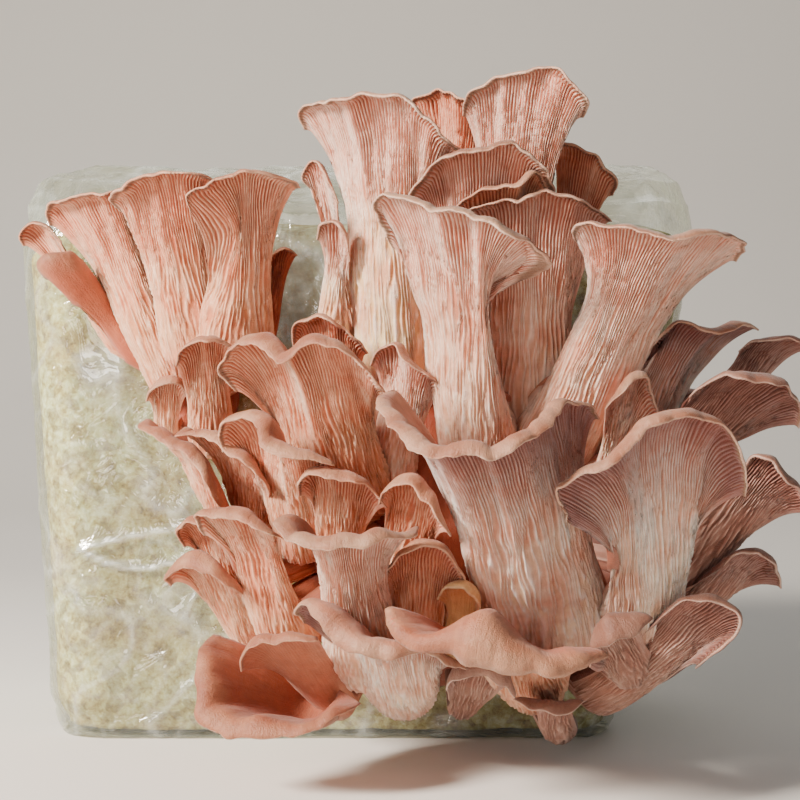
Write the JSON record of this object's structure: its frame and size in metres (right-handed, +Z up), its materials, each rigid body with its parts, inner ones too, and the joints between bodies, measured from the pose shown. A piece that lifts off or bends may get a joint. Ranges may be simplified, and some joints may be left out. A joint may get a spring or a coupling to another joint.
{
  "type": "oyster mushroom grow bag",
  "caption": "Clear grow bag round a colonised straw block, with a large cluster of pink oyster mushrooms grown out of its front.",
  "frame": {"origin": "on the floor, under the middle of the bag", "axes": "+Z up, +Y into the bag from its mushroom side, +X to the right as seen from the mushroom side"},
  "size_m": [0.2663, 0.2585, 0.2188],
  "materials": {
    "substrate": "matte",
    "bag_film": "gloss",
    "mushroom_flesh": "satin"
  },
  "bodies": {
    "root": {"substrate_block": "substrate", "bag_film": "bag_film", "cluster_base": "mushroom_flesh", "upper_left_base": "mushroom_flesh", "upper_left_edge_fan": "mushroom_flesh", "upper_left_flap": "mushroom_flesh", "left_spatula": "mushroom_flesh", "upper_left_tall_fan": "mushroom_flesh", "upper_middle_fan": "mushroom_flesh", "shaded_bud": "mushroom_flesh", "left_cup": "mushroom_flesh", "left_knob": "mushroom_flesh", "centre_left_fan": "mushroom_flesh", "centre_left_back_fan": "mushroom_flesh", "centre_back_fan": "mushroom_flesh", "tall_funnel": "mushroom_flesh", "narrow_fan": "mushroom_flesh", "yellow_bud": "mushroom_flesh", "top_back_fan": "mushroom_flesh", "top_front_fan": "mushroom_flesh", "top_inner_fan": "mushroom_flesh", "top_right_fan": "mushroom_flesh", "right_back_fan": "mushroom_flesh", "front_left_fan": "mushroom_flesh", "front_right_fan": "mushroom_flesh", "top_middle_fan": "mushroom_flesh", "right_upper_lip": "mushroom_flesh", "right_outer_lip": "mushroom_flesh", "right_middle_fan": "mushroom_flesh", "finger_cap": "mushroom_flesh", "front_funnel": "mushroom_flesh", "right_front_fan": "mushroom_flesh", "right_lower_fan": "mushroom_flesh", "right_under_fan": "mushroom_flesh", "left_rolled_fan": "mushroom_flesh", "left_long_fan": "mushroom_flesh", "left_inner_fan": "mushroom_flesh", "left_fist": "mushroom_flesh", "middle_fan": "mushroom_flesh", "left_front_funnel": "mushroom_flesh", "left_lower_fan": "mushroom_flesh", "left_far_fan": "mushroom_flesh", "left_side_fan": "mushroom_flesh", "centre_lower_fan": "mushroom_flesh", "yellow_bulge": "mushroom_flesh", "bottom_front_lip": "mushroom_flesh", "bottom_left_fan": "mushroom_flesh", "bottom_left_lip": "mushroom_flesh", "bottom_left_bowl": "mushroom_flesh", "bottom_middle_fan": "mushroom_flesh", "bottom_under_lip": "mushroom_flesh", "bottom_right_roll": "mushroom_flesh", "bottom_right_fan": "mushroom_flesh"}
  },
  "joints": []
}
